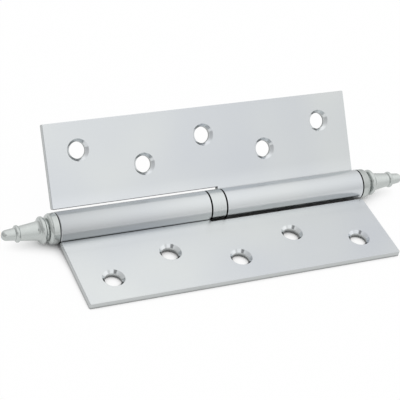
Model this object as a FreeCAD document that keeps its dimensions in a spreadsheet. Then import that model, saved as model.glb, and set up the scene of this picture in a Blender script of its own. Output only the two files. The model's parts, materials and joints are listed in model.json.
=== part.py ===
import FreeCAD
import Part
import Sketcher
import os

# Lift-off butt hinge: two leaves of folded sheet, a pin, a ball thrust bearing and two finials.
# The origin is on the back of the frame leaf, half way out from the pin and half way along it.
# X runs along the pin towards the door leaf's knuckle, Y from the free edge to the pin, Z up.

SIZES = {
    # Leaves: one pressing, used twice
    "leaf_length": 150.0,
    "leaf_reach": 45.0,
    "sheet": 3.0,
    "barrel_diameter": 14.0,
    "face_offset": 2.25,
    "swage_radius": 3.0,
    "seam_gap": 0.3,
    "cut_back_clearance": 0.8,
    "corner_radius": 0.6,
    "edge_break": 0.25,
    "rest_opening": 131.0,
    # Screw holes: an outer row set in from the free edge, an inner row nearer to the pin
    "screw_hole": 7.6,
    "countersink": 10.0,
    "countersink_angle": 90.0,
    "edge_margin": 12.75,
    "end_margin": 15.0,
    "row_step": 9.75,
    # Pin: pressed into the frame leaf's knuckle, free in the door leaf's
    "pin_seat_gap": 1.85,
    "pin_end_gap": 6.85,
    "pin_clearance": 0.05,
    "pin_lead": 1.5,
    # Ball thrust bearing between the knuckles
    "bearing_room": 8.3,
    "case_gap": 0.8,
    "case_wall": 0.4,
    "boss_wall": 0.9,
    "race_clearance": 0.1,
    "turning_clearance": 0.05,
    "cage_rim": 0.35,
    "cage_play": 0.15,
    "pocket_clearance": 0.05,
    "groove_depth": 0.2,
    "ball_clearance": 0.02,
    # Finials, from the knuckle's end to the tip
    "spigot_length": 8.0,
    "spigot_lead": 0.6,
    "seat_height": 0.5,
    "seat_land": 0.8,
    "collar_inset": 0.1,
    "collar_width": 2.5,
    "cove_width": 0.4,
    "cove_depth": 0.2,
    "bead_drop": 0.15,
    "bead_width": 1.3,
    "bead_foot": 10.6,
    "bead_bulge": 0.25,
    "neck_groove_width": 0.95,
    "neck_groove": 9.4,
    "disc_foot": 10.5,
    "disc_width": 2.4,
    "disc_bulge": 0.85,
    "flare_length": 1.8,
    "flare_depth": 0.3,
    "neck_root": 8.2,
    "neck_length": 7.05,
    "neck_end": 6.4,
    "knob_width": 2.0,
    "knob_bulge": 0.8,
    "tip_root": 5.6,
    "tip_length": 3.9,
    "tip_end": 4.7,
    "nose_length": 2.0,
}
BALL_COUNT = 12
FULL_TURN = 360

# Lengths that follow from the driving sizes
BARREL = "(Sizes.barrel_diameter / 2)"
BORE = f"({BARREL} - Sizes.sheet)"
BACK_FACE = "(Sizes.face_offset + Sizes.sheet)"
CURL_END = "(Sizes.face_offset - Sizes.seam_gap)"
CUT_BACK = f"({BARREL} + Sizes.cut_back_clearance)"
PIN_Y = "(Sizes.leaf_reach / 2)"
KNUCKLE_END = "(Sizes.bearing_room / 2)"
LEAF_END = "(Sizes.leaf_length / 2)"
OUTER_ROW = "(Sizes.leaf_reach - Sizes.edge_margin)"
INNER_ROW = f"({OUTER_ROW} - Sizes.row_step)"
OUTER_HOLE = f"({LEAF_END} - Sizes.end_margin)"
SPIGOT_END = f"({LEAF_END} - Sizes.spigot_length)"
SEAT = f"({BORE} + Sizes.seat_land)"
COLLAR = f"({BARREL} - Sizes.collar_inset)"
BEAD = f"({COLLAR} - Sizes.bead_drop)"
CASE_END = f"({KNUCKLE_END} - Sizes.case_gap)"
CASE_BORE = f"({BARREL} - Sizes.case_wall)"
RACE_BORE = f"({BORE} + Sizes.race_clearance)"
RACE_BOSS = f"({RACE_BORE} + Sizes.boss_wall)"
BALL_PITCH = f"(({CASE_BORE} + {RACE_BORE}) / 2)"
CAGE_WIDTH = f"({CASE_BORE} - {RACE_BORE} - 2 * Sizes.race_clearance)"
POCKET = f"({CAGE_WIDTH} / 2 - Sizes.cage_rim)"
BALL_RADIUS = f"({POCKET} - Sizes.pocket_clearance)"
RACE_FACE = f"({BALL_RADIUS} - Sizes.groove_depth)"

# Ways a piece that is made about X is turned when it is set on the pin
NO_TURN = "rotation(vector(1; 0; 0); 0)"
HALF_TURN_X = "rotation(vector(1; 0; 0); 180)"
HALF_TURN_Z = "rotation(vector(0; 0; 1); 180)"
SWING = "((180 - Sizes.rest_opening) / 2)"
OPEN_TURN = f"rotation(vector(0; cos({SWING}); sin({SWING})); 180)"

# Two points nearer than this are the same point
SAME = 1e-4
UPRIGHT = FreeCAD.Vector(0, 0, 1)

doc = FreeCAD.newDocument("Hinge")
sheet = doc.addObject("Spreadsheet::Sheet", "Sizes")
for row, (alias, number) in enumerate(SIZES.items(), start=1):
    sheet.set(f"A{row}", alias)
    sheet.set(f"B{row}", str(number))
    sheet.setAlias(f"B{row}", alias)
doc.recompute()


def value(expression):
    """The present value of an expression in millimetres or degrees."""
    return float(sheet.evalExpression(expression))


def point(x, y):
    """A point of a sketch from two expressions."""
    return FreeCAD.Vector(value(x), value(y), 0)


def new_body(label):
    """An empty body with its own label."""
    body = doc.addObject("PartDesign::Body", label)
    body.Label = label
    return body


def new_sketch(body, name, role, lift=None):
    """A sketch on one of the body's own origin planes, lifted off it where that is needed."""
    sketch = body.newObject("Sketcher::SketchObject", name)
    plane = next(f for f in body.Origin.OriginFeatures if f.Role == role)
    sketch.AttachmentSupport = [(plane, "")]
    sketch.MapMode = "FlatFace"
    if lift:
        sketch.setExpression("AttachmentOffset.Base.z", lift)
    return sketch


def bind(sketch, kind, *target):
    """Add a constraint whose value is the expression that comes last."""
    expression = target[-1]
    number = sketch.addConstraint(Sketcher.Constraint(kind, *target[:-1], value(expression)))
    sketch.setExpression(f"Constraints[{number}]", expression)


def place(sketch, geometry, end, x, y):
    """Fix a point of the sketch at an x and a y from the origin."""
    for kind, expression, axis in (("DistanceX", x, -2), ("DistanceY", y, -1)):
        if expression == "0":
            sketch.addConstraint(Sketcher.Constraint("PointOnObject", geometry, end, axis))
        else:
            bind(sketch, kind, -1, 1, geometry, end, expression)


def circle(sketch, radius, x, y):
    """A circle of the sketch with its radius and centre bound to expressions."""
    number = sketch.addGeometry(Part.Circle(point(x, y), UPRIGHT, value(radius)))
    bind(sketch, "Radius", number, radius)
    place(sketch, number, 3, x, y)


def bulge(start, end, height, side):
    """An arc that stands a height off its chord: its radius and the point at its middle.

    side is 1 for an arc on the left of the way from start to end, and -1 on the right.
    """
    run = f"({end[0]} - {start[0]})"
    rise = f"({end[1]} - {start[1]})"
    radius = f"({run}^2 + {rise}^2) / (8 * {height}) + {height} / 2"
    chord = point(*end) - point(*start)
    left = FreeCAD.Vector(-chord.y, chord.x, 0).normalize()
    return radius, (point(*start) + point(*end)) / 2 + left * side * value(height)


def about(centre, start, end, radius):
    """The shorter arc about a centre: its radius and the point at its middle."""
    outward = (point(*start) + point(*end)) / 2 - point(*centre)
    return radius, point(*centre) + outward.normalize() * value(radius)


def outline(sketch, corners, arcs=None):
    """Close a loop through the corners. arcs gives, by corner number, the arc that leaves it."""
    arcs = arcs or {}
    points = [point(x, y) for x, y in corners]
    first = []
    for number, start in enumerate(points):
        end = points[(number + 1) % len(points)]
        if number in arcs:
            curve = sketch.addGeometry(Part.Arc(start, arcs[number][1], end))
        else:
            curve = sketch.addGeometry(Part.LineSegment(start, end))
        near_start = (sketch.getPoint(curve, 1) - start).Length
        near_end = (sketch.getPoint(curve, 2) - start).Length
        first.append(1 if near_start < near_end else 2)
    for number in range(len(corners)):
        after = (number + 1) % len(corners)
        joined = (number, 3 - first[number], after, first[after])
        sketch.addConstraint(Sketcher.Constraint("Coincident", *joined))
    for number, (x, y) in enumerate(corners):
        place(sketch, number, first[number], x, y)
    for number, (radius, _) in arcs.items():
        bind(sketch, "Radius", number, radius)


def turned(label, corners, arcs=None):
    """A piece turned about X from its half profile, given as distance along X and radius."""
    body = new_body(label)
    profile = new_sketch(body, f"{label}_profile", "XY_Plane")
    outline(profile, corners, arcs)
    spin = body.newObject("PartDesign::Revolution", f"{label}_turning")
    spin.Profile = profile
    spin.ReferenceAxis = (profile, ["H_Axis"])
    spin.Angle = FULL_TURN
    return body


def set_on_pin(body, rotation):
    """Put a piece that is made about X on the pin's line, turned as the expression says."""
    body.setExpression("Placement", f"placement(vector(0; {PIN_Y}; {BACK_FACE}); {rotation})")


def leaf(label, rotation):
    """One leaf: X along the pin, Y to the free edge, Z to the back face, knuckle at negative X."""
    body = new_body(label)

    # Section: plate, swage and the curl that closes round the pin
    section = new_sketch(body, f"{label}_section", "YZ_Plane")
    swage_z = f"({BACK_FACE} + Sizes.swage_radius)"
    swage_reach = f"({BARREL} + Sizes.swage_radius)"
    swage_y = f"sqrt({swage_reach}^2 - {swage_z}^2)"
    swage_foot = (swage_y, BACK_FACE)
    swage_top = (f"{swage_y} * {BARREL} / {swage_reach}", f"{swage_z} * {BARREL} / {swage_reach}")
    corners = [
        swage_foot,
        ("Sizes.leaf_reach", BACK_FACE),
        ("Sizes.leaf_reach", "Sizes.face_offset"),
        (f"sqrt({BORE}^2 - Sizes.face_offset^2)", "Sizes.face_offset"),
        (f"sqrt({BORE}^2 - {CURL_END}^2)", CURL_END),
        (f"sqrt({BARREL}^2 - {CURL_END}^2)", CURL_END),
        swage_top,
    ]
    arcs = {
        3: (BORE, point(f"-{BORE}", "0")),
        5: (BARREL, point(f"-{BARREL}", "0")),
        6: about((swage_y, swage_z), swage_top, swage_foot, "Sizes.swage_radius"),
    }
    outline(section, corners, arcs)
    rolled = body.newObject("PartDesign::Pad", f"{label}_rolled_sheet")
    rolled.Profile = section
    rolled.SideType = "Symmetric"
    rolled.setExpression("Length", "Sizes.leaf_length")
    doc.recompute()

    # The other half is cut back to let the bearing and the other leaf's knuckle turn
    notch = new_sketch(body, f"{label}_notch", "XY_Plane")
    far_x = f"{LEAF_END} + Sizes.sheet"
    far_y = f"-{BARREL} - Sizes.sheet"
    corners = [
        (f"-{KNUCKLE_END}", far_y),
        (far_x, far_y),
        (far_x, CUT_BACK),
        (f"-{KNUCKLE_END}", CUT_BACK),
    ]
    outline(notch, corners)
    cut = body.newObject("PartDesign::Pocket", f"{label}_cut_back")
    cut.Profile = notch
    cut.Type = "ThroughAll"
    cut.SideType = "Symmetric"
    doc.recompute()

    # Countersunk screw holes: three in the outer row, two half way between them in the inner row
    centres = new_sketch(body, f"{label}_screws", "XY_Plane", "Sizes.face_offset")
    for x in (f"-{OUTER_HOLE}", "0", OUTER_HOLE):
        circle(centres, "Sizes.screw_hole / 2", x, OUTER_ROW)
    for x in (f"-{OUTER_HOLE} / 2", f"{OUTER_HOLE} / 2"):
        circle(centres, "Sizes.screw_hole / 2", x, INNER_ROW)
    doc.recompute()
    screws = body.newObject("PartDesign::Hole", f"{label}_screw_holes")
    screws.Profile = centres
    doc.recompute()
    screws.DepthType = "ThroughAll"
    screws.Reversed = True
    screws.setExpression("Diameter", "Sizes.screw_hole")
    screws.HoleCutType = "Countersink"
    screws.HoleCutCustomValues = True
    screws.setExpression("HoleCutDiameter", "Sizes.countersink")
    screws.setExpression("HoleCutCountersinkAngle", "Sizes.countersink_angle")
    doc.recompute()

    # Rounded corners of the plate
    rounded = body.newObject("PartDesign::Fillet", f"{label}_corners")
    rounded.Base = (screws, corner_edges(screws.Shape))
    rounded.setExpression("Radius", "Sizes.corner_radius")
    doc.recompute()

    # Sharp edges of the plate broken all round, on both faces
    broken = body.newObject("PartDesign::Chamfer", f"{label}_edge_break")
    broken.Base = (rounded, rim_edges(rounded.Shape))
    broken.setExpression("Size", "Sizes.edge_break")
    doc.recompute()
    set_on_pin(body, rotation)
    return body


def corner_edges(shape):
    """The names of the edges that stand across the sheet at the plate's three free corners."""
    end = value(LEAF_END)
    free = value("Sizes.leaf_reach")
    spots = [(-end, free), (end, free), (end, value(CUT_BACK))]
    names = []
    for number, edge in enumerate(shape.Edges, start=1):
        box = edge.BoundBox
        across = box.XLength < SAME and box.YLength < SAME and box.ZLength > SAME
        middle = edge.CenterOfMass
        near = any(abs(middle.x - x) < SAME and abs(middle.y - y) < SAME for x, y in spots)
        if across and near:
            names.append(f"Edge{number}")
    return names


def rim_edges(shape):
    """The names of the edges round the plate's two faces, clear of the barrel and the holes."""
    levels = (value("Sizes.face_offset"), value(BACK_FACE))
    corner = value("Sizes.corner_radius") + SAME
    free = value("Sizes.leaf_reach") - corner
    end = value(LEAF_END) - corner
    inner = value(CUT_BACK)
    names = []
    for number, edge in enumerate(shape.Edges, start=1):
        box = edge.BoundBox
        level = box.ZLength < SAME and any(abs(box.ZMin - z) < SAME for z in levels)
        outer_rim = box.YMin > free or box.XMin > end
        inner_rim = abs(box.YMin - inner) < SAME and box.YLength < SAME
        if level and (outer_rim or inner_rim):
            names.append(f"Edge{number}")
    return names


def pin():
    """The pin: a press fit at negative X, a running fit with a tapered lead at positive X."""
    free = f"({BORE} - Sizes.pin_clearance)"
    held_end = f"-({SPIGOT_END} - Sizes.pin_seat_gap)"
    free_end = f"({SPIGOT_END} - Sizes.pin_end_gap)"
    corners = [
        (held_end, "0"),
        (held_end, BORE),
        (f"-{KNUCKLE_END}", BORE),
        (f"-{KNUCKLE_END}", free),
        (f"{free_end} - Sizes.pin_lead", free),
        (free_end, f"{free} - Sizes.pin_lead / 2"),
        (free_end, "0"),
    ]
    body = turned("hinge_pin", corners)
    set_on_pin(body, NO_TURN)
    return body


def case():
    """The plain sleeve that shows between the knuckles."""
    other_end = f"-{CASE_END}"
    corners = [(other_end, CASE_BORE), (other_end, BARREL), (CASE_END, BARREL), (CASE_END, CASE_BORE)]
    body = turned("bearing_case", corners)
    set_on_pin(body, NO_TURN)
    return body


def race(label, rim, rotation):
    """A thrust race: boss on the knuckle's end, flange in the case, ball groove in the flange."""
    groove = f"({BALL_RADIUS} + Sizes.ball_clearance)"
    half_groove = f"sqrt({groove}^2 - {RACE_FACE}^2)"
    corners = [
        (KNUCKLE_END, RACE_BORE),
        (KNUCKLE_END, RACE_BOSS),
        (CASE_END, RACE_BOSS),
        (CASE_END, rim),
        (RACE_FACE, rim),
        (RACE_FACE, f"{BALL_PITCH} + {half_groove}"),
        (RACE_FACE, f"{BALL_PITCH} - {half_groove}"),
        (RACE_FACE, RACE_BORE),
    ]
    body = turned(label, corners, {5: (groove, point(groove, BALL_PITCH))})
    set_on_pin(body, rotation)
    return body


def cage():
    """The flat cage, with one round pocket for each ball."""
    half = f"({RACE_FACE} - Sizes.cage_play)"
    inside = f"({RACE_BORE} + Sizes.race_clearance)"
    outside = f"({CASE_BORE} - Sizes.race_clearance)"
    corners = [(f"-{half}", inside), (f"-{half}", outside), (half, outside), (half, inside)]
    body = turned("ball_cage", corners)
    doc.recompute()
    spot = new_sketch(body, "ball_cage_pocket", "YZ_Plane")
    circle(spot, POCKET, BALL_PITCH, "0")
    pocket = body.newObject("PartDesign::Pocket", "ball_cage_hole")
    pocket.Profile = spot
    pocket.Type = "ThroughAll"
    pocket.SideType = "Symmetric"
    doc.recompute()
    ring = body.newObject("PartDesign::PolarPattern", "ball_cage_pockets")
    ring.Originals = [pocket]
    ring.Axis = (spot, ["N_Axis"])
    ring.Angle = FULL_TURN
    ring.Occurrences = BALL_COUNT
    body.Tip = ring
    set_on_pin(body, NO_TURN)
    return body


def ball(number):
    """One ball in its pocket of the cage."""
    piece = doc.addObject("Part::Sphere", f"ball_{number}")
    piece.Label = f"ball_{number}"
    piece.setExpression("Radius", BALL_RADIUS)
    angle = FULL_TURN * (number - 1) / BALL_COUNT
    piece.setExpression("Placement.Base.y", f"{PIN_Y} + {BALL_PITCH} * cos({angle})")
    piece.setExpression("Placement.Base.z", f"{BACK_FACE} + {BALL_PITCH} * sin({angle})")
    return piece


def finial(label, rotation):
    """A turned finial: spigot in the knuckle's bore, then collar, bead, disc, neck, knob and tip."""
    lengths = (
        "seat_height",
        "collar_width",
        "cove_width",
        "bead_width",
        "neck_groove_width",
        "disc_width",
        "flare_length",
        "neck_length",
        "knob_width",
        "tip_length",
        "nose_length",
    )
    along = [LEAF_END]
    for name in lengths:
        along.append(f"({along[-1]} + Sizes.{name})")
    end, seat, collar, cove, bead, gap, disc, flare, neck, knob, tip, nose = along
    corners = [
        (SPIGOT_END, "0"),
        (SPIGOT_END, f"{BORE} - Sizes.spigot_lead"),
        (f"{SPIGOT_END} + Sizes.spigot_lead", BORE),
        (end, BORE),
        (end, SEAT),
        (seat, SEAT),
        (seat, COLLAR),
        (collar, COLLAR),
        (cove, BEAD),
        (bead, "Sizes.bead_foot / 2"),
        (bead, "Sizes.neck_groove / 2"),
        (gap, "Sizes.neck_groove / 2"),
        (gap, "Sizes.disc_foot / 2"),
        (disc, "Sizes.disc_foot / 2"),
        (flare, "Sizes.neck_root / 2"),
        (neck, "Sizes.neck_end / 2"),
        (knob, "Sizes.tip_root / 2"),
        (tip, "Sizes.tip_end / 2"),
        (nose, "0"),
    ]
    hollows = {7: "Sizes.cove_depth", 13: "Sizes.flare_depth"}
    rounds = {8: "Sizes.bead_bulge", 12: "Sizes.disc_bulge", 15: "Sizes.knob_bulge"}
    arcs = {}
    for number, depth in hollows.items():
        arcs[number] = bulge(corners[number], corners[number + 1], depth, -1)
    for number, height in rounds.items():
        arcs[number] = bulge(corners[number], corners[number + 1], height, 1)
    nose_radius = "((Sizes.nose_length^2 + (Sizes.tip_end / 2)^2) / (2 * Sizes.nose_length))"
    arcs[17] = about((f"{nose} - {nose_radius}", "0"), corners[17], corners[18], nose_radius)
    body = turned(label, corners, arcs)
    set_on_pin(body, rotation)
    return body


def check(pieces):
    """Stop if any object failed or any sub-part is not one valid solid."""
    failed = [o.Name for o in doc.Objects if "Invalid" in o.State or "Error" in o.State]
    if failed:
        raise RuntimeError(f"failed objects: {failed}")
    for piece in pieces:
        shape = piece.Shape
        if shape.isNull() or not shape.isValid() or len(shape.Solids) != 1:
            raise RuntimeError(f"{piece.Label} is not one valid solid")


pieces = [
    leaf("frame_leaf", HALF_TURN_X),
    leaf("door_leaf", OPEN_TURN),
    pin(),
    finial("frame_finial", HALF_TURN_Z),
    finial("door_finial", NO_TURN),
    case(),
    race("fixed_race", CASE_BORE, HALF_TURN_Z),
    race("turning_race", f"({CASE_BORE} - Sizes.turning_clearance)", NO_TURN),
    cage(),
]
for number in range(1, BALL_COUNT + 1):
    pieces.append(ball(number))
doc.recompute()
check(pieces)

os.makedirs("parts", exist_ok=True)
for piece in pieces:
    piece.Shape.exportStep(f"parts/{piece.Label}.step")
    print(piece.Label, round(piece.Shape.Volume, 2), "mm3")
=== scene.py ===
import json
import math

import bpy
from mathutils import Matrix, Vector


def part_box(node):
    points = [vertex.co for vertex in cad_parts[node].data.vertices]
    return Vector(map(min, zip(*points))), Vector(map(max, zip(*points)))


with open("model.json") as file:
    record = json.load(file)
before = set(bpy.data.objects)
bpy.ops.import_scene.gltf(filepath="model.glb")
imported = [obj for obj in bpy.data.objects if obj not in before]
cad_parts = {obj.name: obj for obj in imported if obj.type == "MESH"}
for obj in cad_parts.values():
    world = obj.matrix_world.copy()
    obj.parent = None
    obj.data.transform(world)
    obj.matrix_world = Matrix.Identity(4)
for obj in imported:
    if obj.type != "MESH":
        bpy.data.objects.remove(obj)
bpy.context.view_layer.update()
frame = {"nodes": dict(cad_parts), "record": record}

bl_info = {
    "name": "Lift-off butt hinge",
    "version": (1, 0, 0),
    "blender": (4, 5, 0),
    "location": "View3D > Sidebar > Hinge",
    "description": "Gives a lift-off butt hinge its plated finishes and sets it on a white table",
    "category": "Object",
}

MM = 0.001

# Places that the frame gives: the pin's line, the barrel, the leaves' ends and their rows of screw holes
CASE_LOW, CASE_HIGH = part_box("bearing_case")
PIN = (CASE_LOW + CASE_HIGH) / 2
BARREL_RADIUS = (CASE_HIGH.z - CASE_LOW.z) / 2
LEAF_LOW, LEAF_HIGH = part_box("frame_leaf")
MOUNTS = {mount["name"]: mount for mount in frame["record"]["mounts"]}
HOLE_PITCH = MOUNTS["frame_screws_inner"]["dims"]["spacing_x_mm"] * MM
# The frame has the pin along X
ALONG_PIN = Vector((1, 0, 0))

# Nodes that share a finish
FINIALS = ("frame_finial", "door_finial")
RACES = ("fixed_race", "turning_race")
BALLS = tuple(sorted(name for name in frame["nodes"] if name.startswith("ball_") and name != "ball_cage"))

# How open a place has to be before the painted shade of seams and corners starts to lift, and before it is
# gone
SHADE_LIFTS, SHADE_GONE = 0.36, 0.5
# How far outside the barrel a leaf is still flat, and within what distance it counts as rolled
FLAT_BEYOND, ROLLED_WITHIN = 1.5 * MM, 0.3 * MM
# How squarely a face looks out of the sheet where it is still plate, and where it is a cut edge
PLATE_SQUARE, EDGE_SQUARE = 0.6, 0.3
# Height above a leaf's back where its cut edges start to look torn and take painted shade, and where they
# fully do
TORN_AND_SHADE_STARTS, TORN_AND_SHADE_FULL = 1.1 * MM, 0.7 * MM
# Half the width over which the rim of a countersink goes over into the plate
RIM_BLUR = 0.1 * MM
# Rings round the pin are drawn as lines that run on for longer than the barrel is wide
RING_RUN = 20 * MM

# How open a place on the table has to be before it starts to look white, and before it fully does
WHITE_STARTS, WHITE_FULL = 0.15, 0.7
# Where the room changes from left to right, as the sideways part of a direction of length 1
LEFT_FULL, LEFT_STARTS = -0.75, -0.25
CORNER_STARTS, CORNER_FULL = 0.38, 0.54
PANEL_FULL = 0.74
# Share of the dark place behind the camera that is evenly dark
DARK_CORE = 0.6
SENSOR_WIDTH_MM = 36
WHITE = (1.0, 1.0, 1.0, 1.0)

# A Mix node has sockets for numbers and for colours under the same names, so they are picked by their place
SHARE = 0
NUMBER_FROM, NUMBER_TO, NUMBER_OUT = 2, 3, 0
COLOUR_FROM, COLOUR_TO, COLOUR_OUT = 6, 7, 2


def linear(code):
    """A colour written as sRGB hex, as linear red, green and blue."""
    channels = [int(code[i:i + 2], 16) / 255 for i in (0, 2, 4)]
    return tuple(c / 12.92 if c <= 0.04045 else ((c + 0.055) / 1.055) ** 2.4 for c in channels)


def rgba(colour):
    """A colour property as a socket takes it."""
    return (*colour, 1.0)


def node(tree, kind, inputs=None, **settings):
    """Add a node with its settings. An input is linked where it is given a socket, and set otherwise."""
    made = tree.nodes.new(kind)
    for name, setting in settings.items():
        setattr(made, name, setting)
    for name, given in (inputs or {}).items():
        if isinstance(given, bpy.types.NodeSocket):
            tree.links.new(given, made.inputs[name])
        else:
            made.inputs[name].default_value = given
    return made


def new_material(name):
    """An empty material with one shader."""
    material = bpy.data.materials.new(name)
    material.use_nodes = True
    tree = material.node_tree
    tree.nodes.clear()
    shader = node(tree, "ShaderNodeBsdfPrincipled")
    node(tree, "ShaderNodeOutputMaterial", {"Surface": shader.outputs["BSDF"]})
    return material, tree, shader


def new_metal(name):
    """A bare metal, and the place of each point in metres."""
    material, tree, shader = new_material(name)
    shader.inputs["Metallic"].default_value = 1.0
    return material, tree, shader, node(tree, "ShaderNodeTexCoord").outputs["Object"]


def dress(names, material):
    """Give CAD nodes their finish."""
    for name in names:
        slots = frame["nodes"][name].data.materials
        slots.clear()
        slots.append(material)


class HingeFinishes(bpy.types.PropertyGroup):
    """Colours, roughness and pattern sizes of the hinge's finishes"""
    leaf_cool: bpy.props.FloatVectorProperty(
        name="Plate, cool", description="Satin plate where it looks bluest",
        subtype="COLOR", min=0, max=1, default=linear("C6CAD1"))
    leaf_plain: bpy.props.FloatVectorProperty(
        name="Plate, plain", description="Satin plate where it looks neutral",
        subtype="COLOR", min=0, max=1, default=linear("DADDDA"))
    leaf_grazing: bpy.props.FloatVectorProperty(
        name="Plate, at a flat angle", description="Tint of what the leaves reflect at a flat angle",
        subtype="COLOR", min=0, max=1, default=linear("EFEFEF"))
    leaf_roughness: bpy.props.FloatProperty(
        name="Plate roughness", description="Mean roughness of the satin plate",
        subtype="FACTOR", min=0, max=1, default=0.27)
    cloud_size: bpy.props.FloatProperty(
        name="Cloud size", description="Size of the slow changes of tint in the plate",
        subtype="DISTANCE", unit="LENGTH", min=0, default=45 * MM)
    grain_width: bpy.props.FloatProperty(
        name="Grain width", description="Width of the brush lines as drawn",
        subtype="DISTANCE", unit="LENGTH", min=0, default=0.3 * MM)
    grain_length: bpy.props.FloatProperty(
        name="Grain length", description="Length of the brush lines",
        subtype="DISTANCE", unit="LENGTH", min=0, default=18 * MM)
    # Painted shade: seams, corners and gaps between parts go over to this dark steel, within this reach
    corner_shade_colour: bpy.props.FloatVectorProperty(
        name="Plate, in corners", description="Steel that the plate barely covers, in seams and corners",
        subtype="COLOR", min=0, max=1, default=linear("26292A"))
    corner_shade_reach: bpy.props.FloatProperty(
        name="Corner reach", description="How far out of a seam or a corner the plate is thin",
        subtype="DISTANCE", unit="LENGTH", min=0, default=6 * MM)
    # Painted shade on the knuckles: each leaf's rolled part is multiplied by these, the frame leaf's darker
    # at its end
    frame_knuckle_shade: bpy.props.FloatVectorProperty(
        name="Frame knuckle", description="Tint of the frame leaf's knuckle at its end",
        subtype="COLOR", min=0, max=1, default=linear("DFDFDF"))
    door_knuckle_shade: bpy.props.FloatVectorProperty(
        name="Door knuckle", description="Tint of the door leaf's knuckle at its end",
        subtype="COLOR", min=0, max=1, default=linear("FFFFFF"))
    middle_knuckle_shade: bpy.props.FloatVectorProperty(
        name="Knuckles at the ring", description="Tint of both knuckles where they meet the ring",
        subtype="COLOR", min=0, max=1, default=linear("FFFFFF"))
    draw_width: bpy.props.FloatProperty(
        name="Drawn width", description="How far from the roll the sheet starts to draw up",
        subtype="DISTANCE", unit="LENGTH", min=0, default=7 * MM)
    draw_slope: bpy.props.FloatProperty(
        name="Drawn slope", description="Slope of the sheet's face where it meets the roll",
        min=0, default=0.22)
    sheared_colour: bpy.props.FloatVectorProperty(
        name="Plate, on sheared edges", description="Plate on the cut edges, where the tool sheared them",
        subtype="COLOR", min=0, max=1, default=linear("C2C5C5"))
    # Partly the rougher torn steel and partly painted shade: low on the cut edges, and darker deep in the
    # punched holes
    torn_and_shade_colour: bpy.props.FloatVectorProperty(
        name="Plate, on torn edges", description="Plate low on the cut edges, where the steel tore",
        subtype="COLOR", min=0, max=1, default=linear("A6A9A9"))
    bore_and_shade_colour: bpy.props.FloatVectorProperty(
        name="Plate, in bores", description="Thin plate over the torn steel deep in the punched holes",
        subtype="COLOR", min=0, max=1, default=linear("8E9191"))
    sheared_roughness: bpy.props.FloatProperty(
        name="Sheared roughness", description="Roughness of the cut edges and punched bores",
        subtype="FACTOR", min=0, max=1, default=0.4)
    countersink_width: bpy.props.FloatProperty(
        name="Countersink", description="Diameter of the countersinks at the leaf's face",
        subtype="DISTANCE", unit="LENGTH", min=0, default=10 * MM)
    countersink_roughness: bpy.props.FloatProperty(
        name="Countersink roughness", description="Roughness of the plate where a countersink was cut",
        subtype="FACTOR", min=0, max=1, default=0.14)
    tool_pitch: bpy.props.FloatProperty(
        name="Tool marks", description="Spacing of the turning and countersinking marks as drawn",
        subtype="DISTANCE", unit="LENGTH", min=0, default=0.35 * MM)
    finial_colour: bpy.props.FloatVectorProperty(
        name="Finial", description="Matt plate on the finials",
        subtype="COLOR", min=0, max=1, default=linear("C2C6C4"))
    finial_dull: bpy.props.FloatVectorProperty(
        name="Finial, dull", description="Matt plate where the blasting left it duller",
        subtype="COLOR", min=0, max=1, default=linear("B6BBB9"))
    finial_grazing: bpy.props.FloatVectorProperty(
        name="Finial, at a flat angle", description="Tint of what the finials reflect at a flat angle",
        subtype="COLOR", min=0, max=1, default=linear("F6F6F6"))
    finial_roughness: bpy.props.FloatProperty(
        name="Finial roughness", description="Mean roughness of the matt plate",
        subtype="FACTOR", min=0, max=1, default=0.2)
    finial_grit: bpy.props.FloatProperty(
        name="Finial grit", description="Size of the grit that matted the finials, as drawn",
        subtype="DISTANCE", unit="LENGTH", min=0, default=0.5 * MM)
    finial_mottle: bpy.props.FloatProperty(
        name="Finial mottle", description="Size of the duller patches on the finials",
        subtype="DISTANCE", unit="LENGTH", min=0, default=3 * MM)
    # Painted shade in the finials' grooves reaches this far
    finial_groove_shade_reach: bpy.props.FloatProperty(
        name="Groove reach", description="How far out of a finial's grooves the plate is thin",
        subtype="DISTANCE", unit="LENGTH", min=0, default=1 * MM)
    ring_colour: bpy.props.FloatVectorProperty(
        name="Bearing case", description="Satin plate on the turned ring",
        subtype="COLOR", min=0, max=1, default=linear("CFD3D3"))
    ring_grazing: bpy.props.FloatVectorProperty(
        name="Bearing case, at a flat angle", description="Tint of what the ring reflects at a flat angle",
        subtype="COLOR", min=0, max=1, default=linear("C4C4C4"))
    pin_colour: bpy.props.FloatVectorProperty(
        name="Pin", description="Zinc plate on the pin",
        subtype="COLOR", min=0, max=1, default=linear("BFC2C8"))
    pin_stain: bpy.props.FloatVectorProperty(
        name="Pin, stained", description="Zinc plate where the passivation is yellower",
        subtype="COLOR", min=0, max=1, default=linear("C6C3B8"))
    stain_length: bpy.props.FloatProperty(
        name="Stain length", description="Length of the stained patches along the pin",
        subtype="DISTANCE", unit="LENGTH", min=0, default=12 * MM)
    stain_width: bpy.props.FloatProperty(
        name="Stain width", description="Width of the stained patches round the pin",
        subtype="DISTANCE", unit="LENGTH", min=0, default=4 * MM)
    pin_roughness: bpy.props.FloatProperty(
        name="Pin roughness", description="Mean roughness of the pin's zinc plate",
        subtype="FACTOR", min=0, max=1, default=0.3)
    race_colour: bpy.props.FloatVectorProperty(
        name="Races", description="Ground bearing steel",
        subtype="COLOR", min=0, max=1, default=linear("BEC0C3"))
    race_roughness: bpy.props.FloatProperty(
        name="Race roughness", description="Mean roughness of the ground steel",
        subtype="FACTOR", min=0, max=1, default=0.18)
    ball_colour: bpy.props.FloatVectorProperty(
        name="Balls", description="Lapped bearing steel",
        subtype="COLOR", min=0, max=1, default=linear("C8C9CB"))
    ball_roughness: bpy.props.FloatProperty(
        name="Ball roughness", description="Mean roughness of the lapped steel",
        subtype="FACTOR", min=0, max=1, default=0.07)
    ball_haze: bpy.props.FloatProperty(
        name="Ball haze", description="Size of the hazy patches on the balls",
        subtype="DISTANCE", unit="LENGTH", min=0, default=0.4 * MM)
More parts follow.
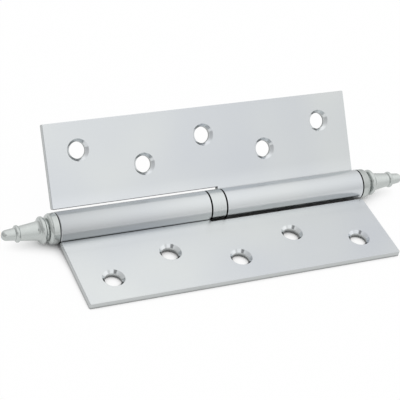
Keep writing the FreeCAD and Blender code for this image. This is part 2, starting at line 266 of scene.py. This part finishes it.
    cage_colour: bpy.props.FloatVectorProperty(
        name="Cage", description="Rolled brass strip",
        subtype="COLOR", min=0, max=1, default=linear("D2AE62"))
    cage_dull: bpy.props.FloatVectorProperty(
        name="Cage, dull", description="Rolled brass strip where it has dulled",
        subtype="COLOR", min=0, max=1, default=linear("B8924A"))
    cage_patch: bpy.props.FloatProperty(
        name="Cage patches", description="Size of the dulled patches on the cage",
        subtype="DISTANCE", unit="LENGTH", min=0, default=2 * MM)
    cage_roughness: bpy.props.FloatProperty(
        name="Cage roughness", description="Mean roughness of the rolled brass",
        subtype="FACTOR", min=0, max=1, default=0.28)


class HingeStage(bpy.types.PropertyGroup):
    """The table, the room, the lamp and the camera"""
    floor_colour: bpy.props.FloatVectorProperty(
        name="Table", description="Matt white table top",
        subtype="COLOR", min=0, max=1, default=linear("F0F0F0"))
    floor_reach: bpy.props.FloatProperty(
        name="Table reach", description="How far the table goes to each side of the hinge",
        subtype="DISTANCE", unit="LENGTH", min=0, default=6.0)
    floor_glow: bpy.props.FloatProperty(
        name="Table glow", description="How far the table goes over to plain white in the open",
        subtype="FACTOR", min=0, max=1, default=0.96)
    shadow_reach: bpy.props.FloatProperty(
        name="Shadow reach", description="How near a piece has to be to keep the table from looking white",
        subtype="DISTANCE", unit="LENGTH", min=0, default=15 * MM)
    ceiling_strength: bpy.props.FloatProperty(
        name="Ceiling", description="Brightness of the room overhead", min=0, default=1.31)
    wall_strength: bpy.props.FloatProperty(
        name="Walls", description="Brightness of the room level with the hinge", min=0, default=0.88)
    side_shade: bpy.props.FloatProperty(
        name="Right corner", description="Share of the room's brightness that is left in its right corner",
        subtype="FACTOR", min=0, max=1, default=0.72)
    side_panel: bpy.props.FloatProperty(
        name="Right panel", description="Share that the white panel on the far right adds",
        min=0, default=0.5)
    left_shade: bpy.props.FloatProperty(
        name="Left end", description="Share of the room's brightness that is left at its left end",
        subtype="FACTOR", min=0, max=1, default=0.65)
    camera_shade: bpy.props.FloatProperty(
        name="Behind the camera",
        description="Share of the room's brightness that is left behind the camera",
        subtype="FACTOR", min=0, max=1, default=0.28)
    camera_spread: bpy.props.FloatProperty(
        name="Dark angle", description="How far the dark place behind the camera reaches to each side",
        subtype="ANGLE", unit="ROTATION", min=0, default=math.radians(15))
    camera_lift: bpy.props.FloatProperty(
        name="Dark height", description="How far the middle of the dark place is above the camera",
        subtype="ANGLE", unit="ROTATION", default=math.radians(8))
    key_strength: bpy.props.FloatProperty(
        name="Key", description="Power of the large lamp overhead",
        subtype="POWER", unit="POWER", min=0, default=0.5)
    key_size: bpy.props.FloatProperty(
        name="Key size", description="Diameter of the large lamp overhead",
        subtype="DISTANCE", unit="LENGTH", min=0, default=0.8)
    key_place: bpy.props.FloatVectorProperty(
        name="Key place", description="Where the large lamp overhead hangs",
        subtype="TRANSLATION", unit="LENGTH", default=(0.35, 0.45, 1.1))
    azimuth: bpy.props.FloatProperty(
        name="Azimuth", description="Where the camera stands round the hinge",
        subtype="ANGLE", unit="ROTATION", default=math.radians(-31.237))
    elevation: bpy.props.FloatProperty(
        name="Elevation", description="How far the camera looks down",
        subtype="ANGLE", unit="ROTATION", default=math.radians(39.558))
    roll: bpy.props.FloatProperty(
        name="Roll", description="How far the camera is turned about its own line of sight",
        subtype="ANGLE", unit="ROTATION", default=math.radians(12.915))
    distance: bpy.props.FloatProperty(
        name="Distance", description="From the middle of the pin to the camera",
        subtype="DISTANCE", unit="LENGTH", min=0, default=606.1 * MM)
    aside: bpy.props.FloatProperty(
        name="Aside", description="How far the camera stands to the right of the pin's middle",
        subtype="DISTANCE", unit="LENGTH", default=-6.51 * MM)
    above: bpy.props.FloatProperty(
        name="Above", description="How far the camera stands above the pin's middle",
        subtype="DISTANCE", unit="LENGTH", default=0.841 * MM)
    lens: bpy.props.FloatProperty(
        name="Lens", description="Focal length on a sensor 36 mm wide",
        subtype="DISTANCE_CAMERA", unit="CAMERA", min=1, default=120.307)


def drawn_out(tree, place, sizes):
    """Lines or patches that are longer one way, with their size along each axis in metres."""
    scaled = node(tree, "ShaderNodeMapping", {"Vector": place, "Scale": [1 / size for size in sizes]})
    made = node(
        tree, "ShaderNodeTexNoise", {"Vector": scaled.outputs["Vector"], "Scale": 1.0, "Detail": 2.0})
    return made.outputs["Fac"]


def from_pin(tree, place):
    """How far a point is from the pin's axis."""
    off = node(tree, "ShaderNodeVectorMath", {0: place, 1: PIN}, operation="SUBTRACT")
    flat = node(tree, "ShaderNodeVectorMath", {0: off.outputs["Vector"], 1: (0, 1, 1)}, operation="MULTIPLY")
    length = node(tree, "ShaderNodeVectorMath", {0: flat.outputs["Vector"]}, operation="LENGTH")
    return length.outputs["Value"]


def plate(tree, shader, colour, finish, reach):
    """Paint shade into seams, grooves and tight corners: the colour goes over to dark steel where little
    round a point is open.
    """
    room = node(tree, "ShaderNodeAmbientOcclusion", {"Distance": reach}, samples=8)
    share = node(
        tree, "ShaderNodeMapRange",
        {"Value": room.outputs["AO"], "From Min": SHADE_LIFTS, "From Max": SHADE_GONE})
    mixed = node(
        tree, "ShaderNodeMix",
        {SHARE: share.outputs["Result"], COLOUR_FROM: rgba(finish.corner_shade_colour), COLOUR_TO: colour},
        data_type="RGBA")
    tree.links.new(mixed.outputs[COLOUR_OUT], shader.inputs["Base Color"])


def texture(tree, shader, pattern, roughness, spread, depth):
    """Let a pattern vary a metal's roughness and raise its surface, and return both sockets."""
    rough = node(
        tree, "ShaderNodeMapRange",
        {"Value": pattern, "To Min": roughness - spread, "To Max": roughness + spread}).outputs["Result"]
    raised = node(tree, "ShaderNodeBump", {"Height": pattern, "Distance": depth}).outputs["Normal"]
    tree.links.new(rough, shader.inputs["Roughness"])
    tree.links.new(raised, shader.inputs["Normal"])
    return rough, raised


def on_roll(tree, place):
    """Where a leaf is rolled into its knuckle: 1 there, and 0 on the flat sheet."""
    rolled = node(
        tree, "ShaderNodeMapRange",
        {"Value": from_pin(tree, place),
         "From Min": BARREL_RADIUS + FLAT_BEYOND, "From Max": BARREL_RADIUS + ROLLED_WITHIN})
    return rolled.outputs["Result"]


def on_cut_edge(tree, leaf, rolled):
    """Where a face stands across the flat sheet, as its sheared edges and punched bores do."""
    normal = node(tree, "ShaderNodeTexCoord").outputs["Normal"]
    out_of_sheet = MOUNTS[leaf + "_screws_outer"]["axis"]
    facing = node(tree, "ShaderNodeVectorMath", {0: normal, 1: out_of_sheet}, operation="DOT_PRODUCT")
    facing = node(tree, "ShaderNodeMath", {0: facing.outputs["Value"]}, operation="ABSOLUTE")
    across = node(
        tree, "ShaderNodeMapRange",
        {"Value": facing.outputs["Value"], "From Min": PLATE_SQUARE, "From Max": EDGE_SQUARE})
    flat = node(
        tree, "ShaderNodeMath", {0: across.outputs["Result"], 1: rolled},
        operation="SUBTRACT", use_clamp=True)
    return flat.outputs["Value"]


def from_hole(tree, place, leaf):
    """How far a point of a leaf is from the axis of the nearest screw hole.

    The holes of the two rows stand half a pitch apart along the pin.
    """
    outer, inner = MOUNTS[leaf + "_screws_outer"], MOUNTS[leaf + "_screws_inner"]
    across = Vector(outer["axis"]).cross(ALONG_PIN)
    along = node(tree, "ShaderNodeSeparateXYZ", {0: place}).outputs["X"]
    out = node(tree, "ShaderNodeVectorMath", {0: place, 1: across}, operation="DOT_PRODUCT").outputs["Value"]
    half = HOLE_PITCH / 2
    distances = []
    for row, start in ((outer, 0.0), (inner, half)):
        x = node(tree, "ShaderNodeMath", {0: along, 1: start + half, 2: start - half}, operation="WRAP")
        x = node(tree, "ShaderNodeMath", {0: x.outputs["Value"], 1: start}, operation="SUBTRACT")
        y = node(tree, "ShaderNodeMath", {0: out, 1: across.dot(Vector(row["pos_m"]))}, operation="SUBTRACT")
        flat = node(tree, "ShaderNodeCombineXYZ", {0: x.outputs["Value"], 1: y.outputs["Value"]})
        length = node(tree, "ShaderNodeVectorMath", {0: flat.outputs["Vector"]}, operation="LENGTH")
        distances.append(length.outputs["Value"])
    nearest = node(tree, "ShaderNodeMath", {0: distances[0], 1: distances[1]}, operation="MINIMUM")
    return nearest.outputs["Value"]


def in_countersink(tree, far, finish):
    """Where a countersink was cut: 1 within its rim, and 0 outside."""
    rim = finish.countersink_width / 2
    within = node(
        tree, "ShaderNodeMapRange",
        {"Value": far, "From Min": rim + RIM_BLUR, "From Max": rim - RIM_BLUR})
    return within.outputs["Result"]


def knuckle_shade(tree, place, leaf, finish):
    """Painted shade on a leaf's knuckle, which changes from the ring to the leaf's end; on the frame leaf it
    darkens towards the end.
    """
    end, end_shade = LEAF_LOW.x, finish.frame_knuckle_shade
    if leaf == "door":
        end, end_shade = LEAF_HIGH.x, finish.door_knuckle_shade
    along = node(tree, "ShaderNodeSeparateXYZ", {0: place}).outputs["X"]
    share = node(tree, "ShaderNodeMapRange", {"Value": along, "From Max": end}).outputs["Result"]
    tint = node(
        tree, "ShaderNodeMix",
        {SHARE: share, COLOUR_FROM: rgba(finish.middle_knuckle_shade), COLOUR_TO: rgba(end_shade)},
        data_type="RGBA")
    return tint.outputs[COLOUR_OUT]


def edge_tint(tree, place, leaf, cut, finish):
    """The colour of the cut edges: sheared towards the leaf's face, and towards its back rougher torn steel
    with painted shade, darkest deep in the holes.
    """
    outer = MOUNTS[leaf + "_screws_outer"]
    back = Vector(outer["axis"]).dot(Vector(outer["pos_m"]))
    up = node(tree, "ShaderNodeVectorMath", {0: place, 1: outer["axis"]}, operation="DOT_PRODUCT")
    low = node(
        tree, "ShaderNodeMapRange",
        {"Value": up.outputs["Value"], "From Min": back + TORN_AND_SHADE_STARTS, "From Max": back + TORN_AND_SHADE_FULL})
    # Low on the cut edges and in the bores: torn steel darkened further as painted shade
    torn = node(
        tree, "ShaderNodeMix",
        {SHARE: cut, COLOUR_FROM: rgba(finish.torn_and_shade_colour), COLOUR_TO: rgba(finish.bore_and_shade_colour)},
        data_type="RGBA")
    tint = node(
        tree, "ShaderNodeMix",
        {SHARE: low.outputs["Result"], COLOUR_FROM: rgba(finish.sheared_colour),
         COLOUR_TO: torn.outputs[COLOUR_OUT]},
        data_type="RGBA")
    return tint.outputs[COLOUR_OUT]


def leaf_tint(tree, place, leaf, rolled, sheared, cut, finish):
    """The colour of a leaf: clouds of cooler and plainer plate, painted shade on its knuckle, and its cut
    edges with painted shade low down and in the holes.
    """
    cloud = node(
        tree, "ShaderNodeTexNoise", {"Vector": place, "Scale": 1 / finish.cloud_size, "Detail": 1.0})
    tint = node(
        tree, "ShaderNodeMix",
        {SHARE: cloud.outputs["Fac"],
         COLOUR_FROM: rgba(finish.leaf_plain), COLOUR_TO: rgba(finish.leaf_cool)},
        data_type="RGBA")
    # Painted shade on the knuckle, multiplied over the plate where the leaf is rolled
    tint = node(
        tree, "ShaderNodeMix",
        {SHARE: rolled, COLOUR_FROM: tint.outputs[COLOUR_OUT],
         COLOUR_TO: knuckle_shade(tree, place, leaf, finish)},
        data_type="RGBA", blend_type="MULTIPLY")
    tint = node(
        tree, "ShaderNodeMix",
        {SHARE: sheared, COLOUR_FROM: tint.outputs[COLOUR_OUT],
         COLOUR_TO: edge_tint(tree, place, leaf, cut, finish)},
        data_type="RGBA")
    return tint.outputs[COLOUR_OUT]


def draw_up(tree, place, raised, finish):
    """Add the slight rise of the sheet's face towards the roll, a curve that starts flat."""
    near = node(
        tree, "ShaderNodeMapRange",
        {"Value": from_pin(tree, place),
         "From Min": BARREL_RADIUS + finish.draw_width, "From Max": BARREL_RADIUS})
    rise = node(tree, "ShaderNodeMath", {0: near.outputs["Result"], 1: 2.0}, operation="POWER")
    height = finish.draw_slope * finish.draw_width / 2
    bump = node(
        tree, "ShaderNodeBump", {"Height": rise.outputs["Value"], "Distance": height, "Normal": raised})
    return bump.outputs["Normal"]


def satin_chrome_leaf(finish, leaf):
    """Satin chromium plate over brushed steel sheet.

    The brush lines run along the pin and draw reflections out softly. The countersinks were cut after
    brushing, so they are brighter, with rings left by the tool. Both are far finer in metal than drawn here.
    """
    material, tree, shader, place = new_metal("Satin chromium plate on brushed steel, " + leaf + " leaf")
    rolled = on_roll(tree, place)
    sheared = on_cut_edge(tree, leaf, rolled)
    far = from_hole(tree, place, leaf)
    cut = in_countersink(tree, far, finish)
    tint = leaf_tint(tree, place, leaf, rolled, sheared, cut, finish)
    # Painted shade in seams and corners, and in the gap under the knuckle
    plate(tree, shader, tint, finish, finish.corner_shade_reach)

    brush = drawn_out(tree, place, (finish.grain_length, finish.grain_width, finish.grain_width))
    rings = node(tree, "ShaderNodeMath", {0: far, 1: finish.tool_pitch}, operation="PINGPONG")
    rings = node(
        tree, "ShaderNodeMath", {0: rings.outputs["Value"], 1: finish.tool_pitch}, operation="DIVIDE")
    marks = node(
        tree, "ShaderNodeMix", {SHARE: cut, NUMBER_FROM: brush, NUMBER_TO: rings.outputs["Value"]},
        data_type="FLOAT").outputs[NUMBER_OUT]
    rough, raised = texture(
        tree, shader, marks, roughness=finish.leaf_roughness, spread=0.006, depth=0.0001 * MM)
    for where, roughness in ((cut, finish.countersink_roughness), (sheared, finish.sheared_roughness)):
        rough = node(
            tree, "ShaderNodeMix", {SHARE: where, NUMBER_FROM: rough, NUMBER_TO: roughness},
            data_type="FLOAT").outputs[NUMBER_OUT]
    tree.links.new(rough, shader.inputs["Roughness"])
    tree.links.new(draw_up(tree, place, raised, finish), shader.inputs["Normal"])
    shader.inputs["Specular Tint"].default_value = rgba(finish.leaf_grazing)
    return material


def matt_chrome_finial(finish):
    """Matt chromium plate over a turned and blasted blank: a broad soft sheen with a faint mottle.

    The pits that the grit left are finer in metal than drawn here.
    """
    material, tree, shader, place = new_metal("Matt chromium plate on turned zinc")
    mottle = node(
        tree, "ShaderNodeTexNoise", {"Vector": place, "Scale": 1 / finish.finial_mottle, "Detail": 2.0})
    tint = node(
        tree, "ShaderNodeMix",
        {SHARE: mottle.outputs["Fac"],
         COLOUR_FROM: rgba(finish.finial_dull), COLOUR_TO: rgba(finish.finial_colour)},
        data_type="RGBA")
    # Painted shade in the finials' grooves
    plate(tree, shader, tint.outputs[COLOUR_OUT], finish, finish.finial_groove_shade_reach)
    grit = node(
        tree, "ShaderNodeTexNoise", {"Vector": place, "Scale": 1 / finish.finial_grit, "Detail": 3.0})
    texture(
        tree, shader, grit.outputs["Fac"], roughness=finish.finial_roughness, spread=0.05, depth=0.006 * MM)
    shader.inputs["Specular Tint"].default_value = rgba(finish.finial_grazing)
    return material


def satin_chrome_ring(finish):
    """Satin chromium plate over turned steel: fine rings round the pin.

    They are drawn coarser than the lathe left them.
    """
    material, tree, shader, place = new_metal("Satin chromium plate on turned steel")
    turned = drawn_out(tree, place, (finish.tool_pitch, RING_RUN, RING_RUN))
    texture(tree, shader, turned, roughness=finish.leaf_roughness, spread=0.012, depth=0.0002 * MM)
    # Painted shade where the ring meets the knuckles
    plate(tree, shader, rgba(finish.ring_colour), finish, finish.corner_shade_reach)
    shader.inputs["Specular Tint"].default_value = rgba(finish.ring_grazing)
    return material


def zinc_plated_pin(finish):
    """Zinc plate over drawn steel bar: drawing lines along the pin, and a faint yellow stain in patches."""
    material, tree, shader, place = new_metal("Zinc plate on drawn steel")
    stain = drawn_out(tree, place, (finish.stain_length, finish.stain_width, finish.stain_width))
    tint = node(
        tree, "ShaderNodeMix",
        {SHARE: stain, COLOUR_FROM: rgba(finish.pin_colour), COLOUR_TO: rgba(finish.pin_stain)},
        data_type="RGBA")
    tree.links.new(tint.outputs[COLOUR_OUT], shader.inputs["Base Color"])
    drawn = drawn_out(tree, place, (finish.grain_length, finish.grain_width, finish.grain_width))
    texture(tree, shader, drawn, roughness=finish.pin_roughness, spread=0.06, depth=0.002 * MM)
    return material


def ground_steel(finish):
    """Ground bearing steel: bright, with fine rings round the pin.

    They are drawn coarser than the grinding wheel left them.
    """
    material, tree, shader, place = new_metal("Ground bearing steel")
    ground = node(
        tree, "ShaderNodeTexNoise",
        {"W": from_pin(tree, place), "Scale": 1 / finish.tool_pitch, "Detail": 2.0}, noise_dimensions="1D")
    texture(
        tree, shader, ground.outputs["Fac"], roughness=finish.race_roughness, spread=0.05, depth=0.001 * MM)
    # Painted shade in the races' corners
    plate(tree, shader, rgba(finish.race_colour), finish, finish.corner_shade_reach)
    return material


def lapped_steel(finish):
    """Lapped bearing steel: almost a mirror, with a breath of haze that changes over the ball."""
    material, tree, shader, place = new_metal("Lapped bearing steel")
    haze = node(tree, "ShaderNodeTexNoise", {"Vector": place, "Scale": 1 / finish.ball_haze, "Detail": 2.0})
    texture(
        tree, shader, haze.outputs["Fac"], roughness=finish.ball_roughness, spread=0.03, depth=0.0002 * MM)
    shader.inputs["Base Color"].default_value = rgba(finish.ball_colour)
    return material


def rolled_brass(finish):
    """Stamped from rolled brass strip: lines one way across the sheet, and a slight dulling in patches."""
    material, tree, shader, place = new_metal("Rolled brass strip")
    dull = node(tree, "ShaderNodeTexNoise", {"Vector": place, "Scale": 1 / finish.cage_patch, "Detail": 2.0})
    tint = node(
        tree, "ShaderNodeMix",
        {SHARE: dull.outputs["Fac"],
         COLOUR_FROM: rgba(finish.cage_colour), COLOUR_TO: rgba(finish.cage_dull)},
        data_type="RGBA")
    tree.links.new(tint.outputs[COLOUR_OUT], shader.inputs["Base Color"])
    rolled = drawn_out(tree, place, (finish.grain_width, finish.grain_width, finish.grain_length))
    texture(tree, shader, rolled, roughness=finish.cage_roughness, spread=0.06, depth=0.002 * MM)
    return material


def matt_white_card(stage):
    """Matt white card. It keeps the hinge's shadow close under it, and looks plain white farther out."""
    material, tree, shader = new_material("Matt white card")
    shader.inputs["Base Color"].default_value = rgba(stage.floor_colour)
    shader.inputs["Roughness"].default_value = 0.9
    shader.inputs["Specular IOR Level"].default_value = 0.0
    open_sky = node(tree, "ShaderNodeAmbientOcclusion", {"Distance": stage.shadow_reach}, samples=16)
    share = node(
        tree, "ShaderNodeMapRange",
        {"Value": open_sky.outputs["AO"],
         "From Min": WHITE_STARTS, "From Max": WHITE_FULL, "To Max": stage.floor_glow}).outputs["Result"]
    path = node(tree, "ShaderNodeLightPath")
    seen = path.outputs["Is Camera Ray"]
    for ray in ("Is Glossy Ray", "Is Transmission Ray"):
        seen = node(
            tree, "ShaderNodeMath", {0: seen, 1: path.outputs[ray]}, operation="MAXIMUM").outputs["Value"]
    share = node(tree, "ShaderNodeMath", {0: share, 1: seen}, operation="MULTIPLY").outputs["Value"]
    glow = node(tree, "ShaderNodeEmission", {"Color": WHITE, "Strength": 1.0})
    mixed = node(
        tree, "ShaderNodeMixShader", {0: share, 1: shader.outputs["BSDF"], 2: glow.outputs["Emission"]})
    tree.links.new(mixed.outputs["Shader"], tree.get_output_node("ALL").inputs["Surface"])
    return material


def build_floor(scene, stage):
    """A table top that touches the barrel and the free edge of the frame leaf."""
    edge = Vector((0, LEAF_LOW.y, 0))
    across = PIN - edge
    slope = math.atan2(across.z, across.y) - math.asin(BARREL_RADIUS / math.hypot(across.y, across.z))
    reach = stage.floor_reach
    corners = []
    for x, y in ((-reach, -reach), (reach, -reach), (reach, reach), (-reach, reach)):
        corners.append((x, y * math.cos(slope), edge.z + (y - edge.y) * math.sin(slope)))
    mesh = bpy.data.meshes.new("table")
    mesh.from_pydata(corners, [], [(0, 1, 2, 3)])
    mesh.materials.append(matt_white_card(stage))
    table = bpy.data.objects.new("table", mesh)
    scene.collection.objects.link(table)


def from_above(azimuth, elevation):
    """The direction from the hinge to a place round it and above it."""
    flat = math.cos(elevation)
    return Vector((math.sin(azimuth) * flat, -math.cos(azimuth) * flat, math.sin(elevation)))


def build_room(scene, stage):
    """A white room that the plate reflects, brightest overhead.

    It is darker at its left end, in its right corner and behind the camera, and a panel on the far right
    is brighter. Each change goes by one part of the direction, from a start to an end and from one share of
    the brightness to another.
    """
    world = bpy.data.worlds.new("White room")
    world.use_nodes = True
    scene.world = world
    tree = world.node_tree
    tree.nodes.clear()
    sight = node(tree, "ShaderNodeTexCoord").outputs["Generated"]
    way = node(tree, "ShaderNodeSeparateXYZ", {0: sight})
    up, sideways = way.outputs["Z"], way.outputs["X"]
    dark_middle = from_above(stage.azimuth, stage.elevation + stage.camera_lift)
    near = node(
        tree, "ShaderNodeVectorMath", {0: sight, 1: dark_middle}, operation="DOT_PRODUCT").outputs["Value"]
    dark_rim, dark_core = math.cos(stage.camera_spread), math.cos(stage.camera_spread * DARK_CORE)
    changes = []
    for part, start, end, low, high in (
            (up, 0.0, 1.0, stage.wall_strength, stage.ceiling_strength),
            (sideways, LEFT_FULL, LEFT_STARTS, stage.left_shade, 1.0),
            (near, dark_rim, dark_core, 1.0, stage.camera_shade),
            (sideways, CORNER_STARTS, CORNER_FULL, 1.0, stage.side_shade),
            (sideways, CORNER_FULL, PANEL_FULL, 0.0, stage.side_panel)):
        change = node(
            tree, "ShaderNodeMapRange",
            {"Value": part, "From Min": start, "From Max": end, "To Min": low, "To Max": high})
        changes.append(change.outputs["Result"])
    room, left, behind, corner, panel = changes
    right = node(tree, "ShaderNodeMath", {0: corner, 1: panel}, operation="ADD").outputs["Value"]
    for share in (right, left, behind):
        room = node(tree, "ShaderNodeMath", {0: room, 1: share}, operation="MULTIPLY").outputs["Value"]
    sky = node(tree, "ShaderNodeBackground", {"Color": WHITE, "Strength": room})
    node(tree, "ShaderNodeOutputWorld", {"Surface": sky.outputs["Background"]})


def build_lamp(scene, stage):
    """One large soft lamp overhead, to the right and behind."""
    data = bpy.data.lights.new("Overhead", "AREA")
    data.shape = "DISK"
    data.size = stage.key_size
    data.energy = stage.key_strength
    lamp = bpy.data.objects.new("Overhead", data)
    lamp.location = stage.key_place
    lamp.rotation_mode = "QUATERNION"
    lamp.rotation_quaternion = (Vector(stage.key_place) - PIN).to_track_quat("Z", "Y")
    lamp.visible_camera = False
    lamp.visible_glossy = False
    scene.collection.objects.link(lamp)


def place_camera(scene, stage):
    """The camera stands off the pin's middle, and is rolled about its line of sight."""
    back = from_above(stage.azimuth, stage.elevation)
    right = (-back).cross(Vector((0, 0, 1))).normalized()
    up = right.cross(-back)
    data = bpy.data.cameras.new("Camera")
    data.sensor_width = SENSOR_WIDTH_MM
    data.lens = stage.lens
    camera = bpy.data.objects.new("Camera", data)
    stand = PIN + right * stage.aside + up * stage.above + back * stage.distance
    turn = Matrix((right, up, back)).transposed() @ Matrix.Rotation(stage.roll, 3, "Z")
    camera.matrix_world = Matrix.Translation(stand) @ turn.to_4x4()
    scene.collection.objects.link(camera)
    scene.camera = camera


class HINGE_OT_dress_leaves(bpy.types.Operator):
    """Give the two leaves their satin plate"""
    bl_idname = "hinge.dress_leaves"
    bl_label = "Dress leaves"

    def execute(self, context):
        for leaf in ("frame", "door"):
            dress([leaf + "_leaf"], satin_chrome_leaf(context.scene.hinge_finishes, leaf))
        return {"FINISHED"}


class HINGE_OT_dress_finials(bpy.types.Operator):
    """Give the two finials their matt plate"""
    bl_idname = "hinge.dress_finials"
    bl_label = "Dress finials"

    def execute(self, context):
        dress(FINIALS, matt_chrome_finial(context.scene.hinge_finishes))
        return {"FINISHED"}


class HINGE_OT_dress_pin(bpy.types.Operator):
    """Give the pin its zinc plate"""
    bl_idname = "hinge.dress_pin"
    bl_label = "Dress pin"

    def execute(self, context):
        dress(["hinge_pin"], zinc_plated_pin(context.scene.hinge_finishes))
        return {"FINISHED"}


class HINGE_OT_dress_bearing(bpy.types.Operator):
    """Give the bearing's case, races, balls and cage their finishes"""
    bl_idname = "hinge.dress_bearing"
    bl_label = "Dress bearing"

    def execute(self, context):
        finish = context.scene.hinge_finishes
        dress(["bearing_case"], satin_chrome_ring(finish))
        dress(RACES, ground_steel(finish))
        dress(BALLS, lapped_steel(finish))
        dress(["ball_cage"], rolled_brass(finish))
        return {"FINISHED"}


class HINGE_OT_build_stage(bpy.types.Operator):
    """Set the hinge on a white table under soft light"""
    bl_idname = "hinge.build_stage"
    bl_label = "Build stage"

    def execute(self, context):
        stage = context.scene.hinge_stage
        build_floor(context.scene, stage)
        build_room(context.scene, stage)
        build_lamp(context.scene, stage)
        return {"FINISHED"}


class HINGE_OT_place_camera(bpy.types.Operator):
    """Look down on the hinge from the front left"""
    bl_idname = "hinge.place_camera"
    bl_label = "Place camera"

    def execute(self, context):
        place_camera(context.scene, context.scene.hinge_stage)
        return {"FINISHED"}


class HINGE_PT_steps(bpy.types.Panel):
    """The steps that finish the hinge, in order"""
    bl_idname = "HINGE_PT_steps"
    bl_label = "Hinge"
    bl_space_type = "VIEW_3D"
    bl_region_type = "UI"
    bl_category = "Hinge"

    def draw(self, context):
        for step in STEPS:
            self.layout.operator(step.bl_idname)


STEPS = (
    HINGE_OT_dress_leaves,
    HINGE_OT_dress_finials,
    HINGE_OT_dress_pin,
    HINGE_OT_dress_bearing,
    HINGE_OT_build_stage,
    HINGE_OT_place_camera,
)
CLASSES = (HingeFinishes, HingeStage, *STEPS, HINGE_PT_steps)


def register():
    """Add the hinge's classes, and its settings to every scene."""
    for each in CLASSES:
        bpy.utils.register_class(each)
    bpy.types.Scene.hinge_finishes = bpy.props.PointerProperty(type=HingeFinishes)
    bpy.types.Scene.hinge_stage = bpy.props.PointerProperty(type=HingeStage)


def unregister():
    """Take the settings and the classes away again."""
    del bpy.types.Scene.hinge_stage
    del bpy.types.Scene.hinge_finishes
    for each in reversed(CLASSES):
        bpy.utils.unregister_class(each)


def main():
    """Finish the hinge step by step."""
    register()
    bpy.context.scene.view_settings.view_transform = "Standard"
    bpy.ops.hinge.dress_leaves()
    bpy.ops.hinge.dress_finials()
    bpy.ops.hinge.dress_pin()
    bpy.ops.hinge.dress_bearing()
    bpy.ops.hinge.build_stage()
    bpy.ops.hinge.place_camera()


if __name__ == "__main__":
    main()
